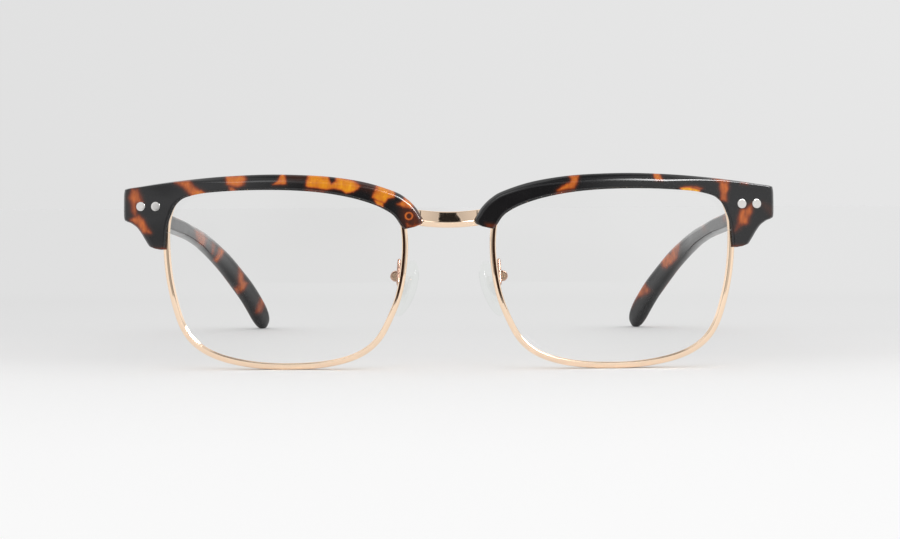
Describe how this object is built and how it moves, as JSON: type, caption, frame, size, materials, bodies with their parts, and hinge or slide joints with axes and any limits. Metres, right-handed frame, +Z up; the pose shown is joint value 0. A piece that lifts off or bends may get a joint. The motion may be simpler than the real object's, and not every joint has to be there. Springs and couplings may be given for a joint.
{
  "type": "reading glasses",
  "caption": "Browline reading glasses with metal eyewires, moulded brows, clear light-reacting lenses, rocking nose pads and folding temples.",
  "frame": {"origin": "on the table, under the middle of the whole with the temples open", "axes": "+X to the viewer's right, -Y towards the viewer who faces the lenses, +Z up; the temples run back along +Y"},
  "size_m": [0.1442, 0.1416, 0.0428],
  "materials": {
    "rose_gold": "polished",
    "tortoise": "gloss",
    "lens_resin": "clear gloss",
    "silicone": "clear satin",
    "clear_plastic": "clear gloss",
    "steel_bright": "polished",
    "steel_satin": "satin"
  },
  "bodies": {
    "front": {"bridge": "rose_gold", "rim_left": "rose_gold", "rim_right": "rose_gold", "lens_left": "lens_resin", "lens_right": "lens_resin", "brow_left": "tortoise", "brow_right": "tortoise", "rivets_left": "steel_bright", "rivets_right": "steel_bright", "brow_screws_left": "steel_bright", "brow_screws_right": "steel_bright", "closing_block_upper_left": "rose_gold", "closing_block_upper_right": "rose_gold", "closing_block_lower_left": "rose_gold", "closing_block_lower_right": "rose_gold", "closing_screw_left": "steel_bright", "closing_screw_right": "steel_bright", "brow_hinge_left": "steel_satin", "brow_hinge_right": "steel_satin", "hinge_screw_left": "steel_bright", "hinge_screw_right": "steel_bright", "pad_arm_left": "rose_gold", "pad_arm_right": "rose_gold", "pad_screw_left": "rose_gold", "pad_screw_right": "rose_gold"},
    "temple_left": {"temple_left": "tortoise", "temple_core_left": "steel_satin", "temple_hinge_left": "steel_satin"},
    "pad_left": {"nose_pad_left": "silicone", "pad_insert_left": "clear_plastic"},
    "temple_right": {"temple_right": "tortoise", "temple_core_right": "steel_satin", "temple_hinge_right": "steel_satin"},
    "pad_right": {"nose_pad_right": "silicone", "pad_insert_right": "clear_plastic"}
  },
  "joints": [
    {"name": "temple_left_fold", "type": "hinge", "parent": "front", "child": "temple_left", "pos_m": [-0.06605, -0.05872, 0.03595], "axis": [0, 0, -1], "range_deg": [0, 86]},
    {"name": "temple_right_fold", "type": "hinge", "parent": "front", "child": "temple_right", "pos_m": [0.06605, -0.05872, 0.03595], "axis": [0, 0, 1], "range_deg": [0, 79]},
    {"name": "pad_left_rock", "type": "hinge", "parent": "front", "child": "pad_left", "pos_m": [-0.01185, -0.06217, 0.0202], "axis": [0, 1, 0], "range_deg": [-10, 10]},
    {"name": "pad_right_rock", "type": "hinge", "parent": "front", "child": "pad_right", "pos_m": [0.01185, -0.06217, 0.0202], "axis": [0, 1, 0], "range_deg": [-10, 10]}
  ]
}
